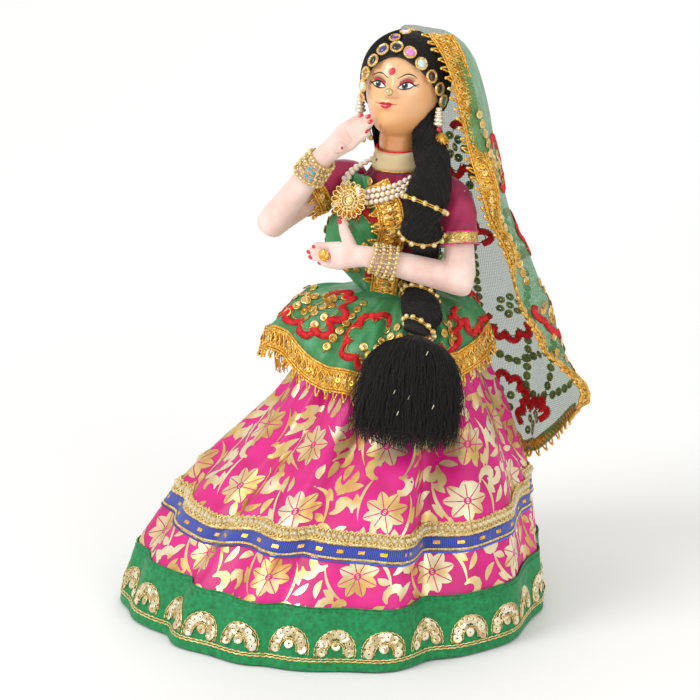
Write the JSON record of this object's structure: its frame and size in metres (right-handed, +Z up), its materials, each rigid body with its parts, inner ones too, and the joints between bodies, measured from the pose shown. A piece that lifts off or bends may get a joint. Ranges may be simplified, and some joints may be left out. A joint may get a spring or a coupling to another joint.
{
  "type": "dressed display doll",
  "caption": "Standing Rajasthani dressed doll with a full bordered skirt, long plait, draped net head cloth, bead jewellery and poseable stuffed arms.",
  "frame": {"origin": "middle of the skirt hem, on the floor under the base board", "axes": "+Z up, -Y the way her chest faces, +X to her left"},
  "size_m": [0.2216, 0.2217, 0.2943],
  "materials": {
    "boardWood": "matt board",
    "cottonStuffing": "loose cotton",
    "glossSkin": "glossy paint",
    "stockinette": "knitted",
    "blackWool": "combed wool",
    "magentaSatin": "satin with gold foil print",
    "maroonBlouse": "plain weave",
    "greenNet": "see-through net",
    "goldLace": "metallic lace",
    "goldBeads": "polished",
    "blueBraid": "ribbed braid",
    "greenBorder": "felted satin",
    "pearlBeads": "pearl coat",
    "armWire": "drawn wire"
  },
  "bodies": {
    "stand": {"base_board": "boardWood", "support_rod": "boardWood", "skirt_wadding": "cottonStuffing", "torso": "cottonStuffing", "braid_upper": "blackWool", "braid_lower": "blackWool", "skirt": "magentaSatin", "waistband": "magentaSatin", "blouse": "maroonBlouse", "dupatta_veil": "greenNet", "dupatta_front": "greenNet", "dupatta_apron": "greenNet", "veil_lace": "goldLace", "apron_lace": "goldLace", "choker": "goldLace", "pendant": "goldBeads", "trim_beads": "goldBeads", "trim_braid": "blueBraid", "hem_border": "greenBorder", "pearl_strand_1": "pearlBeads", "pearl_strand_2": "pearlBeads", "pendant_drop": "pearlBeads"},
    "head": {"head": "glossSkin", "hair_cap": "blackWool", "brow_chain_left": "goldBeads", "brow_chain_right": "goldBeads", "parting_chain": "goldBeads", "nose_bead": "goldBeads"},
    "earring_l": {"earring_left": "goldBeads"},
    "earring_r": {"earring_right": "goldBeads"},
    "upper_l": {"upper_arm_left": "stockinette", "upper_wire_left": "armWire", "sleeve_left": "maroonBlouse", "sleeve_band_left": "goldLace"},
    "lower_l": {"forearm_left": "stockinette", "lower_wire_left": "armWire", "bangle_left_1": "goldBeads", "bangle_left_2": "goldBeads", "bangle_left_3": "goldBeads", "bangle_left_4": "goldBeads"},
    "upper_r": {"upper_arm_right": "stockinette", "upper_wire_right": "armWire", "sleeve_right": "maroonBlouse", "sleeve_band_right": "goldLace"},
    "lower_r": {"forearm_right": "stockinette", "lower_wire_right": "armWire", "bangle_right_1": "goldBeads", "bangle_right_2": "goldBeads", "bangle_right_3": "goldBeads"},
    "tassel": {"braid_tassel": "blackWool"}
  },
  "joints": [
    {"name": "head_turn", "type": "hinge", "parent": "stand", "child": "head", "pos_m": [0.016, 0.032, 0.222], "axis": [0, 0, 1], "range_deg": [0, 20]},
    {"name": "left_earring_swing", "type": "hinge", "parent": "head", "child": "earring_l", "pos_m": [0.0401, 0.031, 0.256], "axis": [1, 0, 0], "range_deg": [-12, 20]},
    {"name": "right_earring_swing", "type": "hinge", "parent": "head", "child": "earring_r", "pos_m": [-0.0061, 0.031, 0.256], "axis": [1, 0, 0], "range_deg": [-12, 20]},
    {"name": "left_shoulder", "type": "hinge", "parent": "stand", "child": "upper_l", "pos_m": [0.0505, 0.031, 0.212], "axis": [0, -1, 0], "range_deg": [0, 10]},
    {"name": "left_elbow", "type": "hinge", "parent": "upper_l", "child": "lower_l", "pos_m": [0.0605, 0.0196, 0.174], "axis": [0, 0, 1], "range_deg": [0, 45]},
    {"name": "right_shoulder", "type": "hinge", "parent": "stand", "child": "upper_r", "pos_m": [-0.0185, 0.029, 0.212], "axis": [1, 0, 0], "range_deg": [0, 25]},
    {"name": "right_elbow", "type": "hinge", "parent": "upper_r", "child": "lower_r", "pos_m": [-0.037, -0.002, 0.194], "axis": [0.7993, -0.1373, -0.585], "range_deg": [0, 60]},
    {"name": "tassel_lift", "type": "hinge", "parent": "stand", "child": "tassel", "pos_m": [0.051, -0.0075, 0.15], "axis": [-0.9023, -0.4312, 0], "range_deg": [0, 40]}
  ]
}
